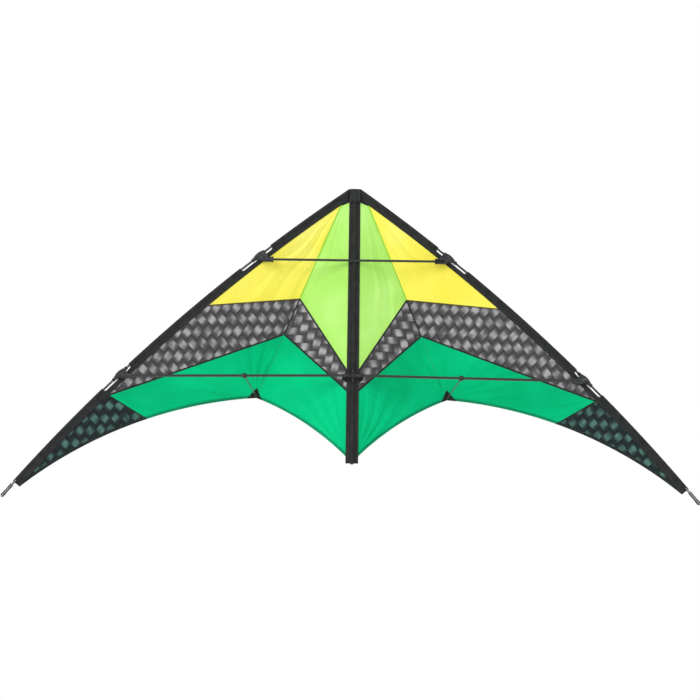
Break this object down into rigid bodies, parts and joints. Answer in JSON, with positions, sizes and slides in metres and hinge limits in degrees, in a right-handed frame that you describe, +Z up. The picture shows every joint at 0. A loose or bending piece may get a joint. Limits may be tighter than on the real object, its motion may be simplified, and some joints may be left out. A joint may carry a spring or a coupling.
{
  "type": "delta kite",
  "caption": "Dual-line delta kite: framed triangular cloth sail in colour panels, curved leading edges, spine, spreaders and standoffs.",
  "frame": {"origin": "centre line of the spine in the plane of the leading edges, at the height of the centre tee", "axes": "+Z up the spine to the nose, +X to the right wing seen from the frame side, +Y to the back, where the sail bellies out; the frame side faces -Y"},
  "size_m": [1.5532, 0.1246, 0.6944],
  "materials": {
    "cloth_lime": "thin ripstop sail cloth",
    "cloth_yellow": "thin ripstop sail cloth",
    "cloth_grey_weave": "sail cloth printed with a grey basket weave",
    "cloth_green": "thin ripstop sail cloth",
    "cloth_dark_weave": "sail cloth printed with a dark green basket weave",
    "cloth_hem": "folded hem tape",
    "tape_black": "folded polyester sleeve tape",
    "webbing_black": "coarse webbing",
    "rubber_black": "moulded rubber",
    "plastic_black": "moulded nylon",
    "fibreglass": "black pultruded fibreglass",
    "cord_grey": "braided elastic cord"
  },
  "bodies": {
    "spine": {"nose_webbing": "webbing_black", "spine_pocket": "tape_black", "spine_rod": "fibreglass", "tail_cap": "rubber_black", "tee_core": "rubber_black"},
    "left_wing": {"left_edge_ferrule": "fibreglass", "left_edge_rod_lower": "fibreglass", "left_edge_rod_upper": "fibreglass", "left_edge_stops": "rubber_black", "left_green_inner": "cloth_green", "left_green_outer": "cloth_green", "left_hem": "cloth_hem", "left_leading_sleeve": "tape_black", "left_lime_panel": "cloth_lime", "left_lower_connector": "rubber_black", "left_lower_spreader": "fibreglass", "left_nose_patch": "tape_black", "left_spine_tape": "tape_black", "left_standoff_patch": "tape_black", "left_tee_arm": "rubber_black", "left_tee_patch": "tape_black", "left_tip_cord": "cord_grey", "left_tip_nock": "plastic_black", "left_tip_panel": "cloth_dark_weave", "left_weave_inner": "cloth_grey_weave", "left_weave_outer": "cloth_grey_weave", "left_yellow_panel": "cloth_yellow"},
    "left_standoff": {"left_standoff_clip": "rubber_black", "left_standoff_rod": "fibreglass", "left_standoff_foot": "rubber_black"},
    "right_wing": {"right_edge_ferrule": "fibreglass", "right_edge_rod_lower": "fibreglass", "right_edge_rod_upper": "fibreglass", "right_edge_stops": "rubber_black", "right_green_inner": "cloth_green", "right_green_outer": "cloth_green", "right_hem": "cloth_hem", "right_leading_sleeve": "tape_black", "right_lime_panel": "cloth_lime", "right_lower_connector": "rubber_black", "right_lower_spreader": "fibreglass", "right_nose_patch": "tape_black", "right_spine_tape": "tape_black", "right_standoff_patch": "tape_black", "right_tee_arm": "rubber_black", "right_tee_patch": "tape_black", "right_tip_cord": "cord_grey", "right_tip_nock": "plastic_black", "right_tip_panel": "cloth_dark_weave", "right_upper_connector": "rubber_black", "right_weave_inner": "cloth_grey_weave", "right_weave_outer": "cloth_grey_weave", "right_yellow_panel": "cloth_yellow"},
    "right_standoff": {"right_standoff_clip": "rubber_black", "right_standoff_rod": "fibreglass", "right_standoff_foot": "rubber_black"},
    "upper_spreader": {"left_upper_connector": "rubber_black", "upper_spreader_rod": "fibreglass"}
  },
  "joints": [
    {"name": "left_wing_fold", "type": "hinge", "parent": "spine", "child": "left_wing", "pos_m": [0, 0, 0], "axis": [0, 0, -1], "range_deg": [0, 60]},
    {"name": "right_wing_fold", "type": "hinge", "parent": "spine", "child": "right_wing", "pos_m": [0, 0, 0], "axis": [0, 0, 1], "range_deg": [0, 60]},
    {"name": "upper_spreader_swing", "type": "hinge", "parent": "left_wing", "child": "upper_spreader", "pos_m": [-0.21022, 0, 0.26414], "axis": [-0.7853, 0, -0.6191], "range_deg": [0, 90]},
    {"name": "left_standoff_swing", "type": "hinge", "parent": "left_wing", "child": "left_standoff", "pos_m": [-0.24, -0.012, -0.00325], "axis": [-0.9999, 0, -0.0136], "range_deg": [0, 100]},
    {"name": "right_standoff_swing", "type": "hinge", "parent": "right_wing", "child": "right_standoff", "pos_m": [0.24, -0.012, -0.00325], "axis": [-0.9999, 0, 0.0136], "range_deg": [0, 100]}
  ]
}
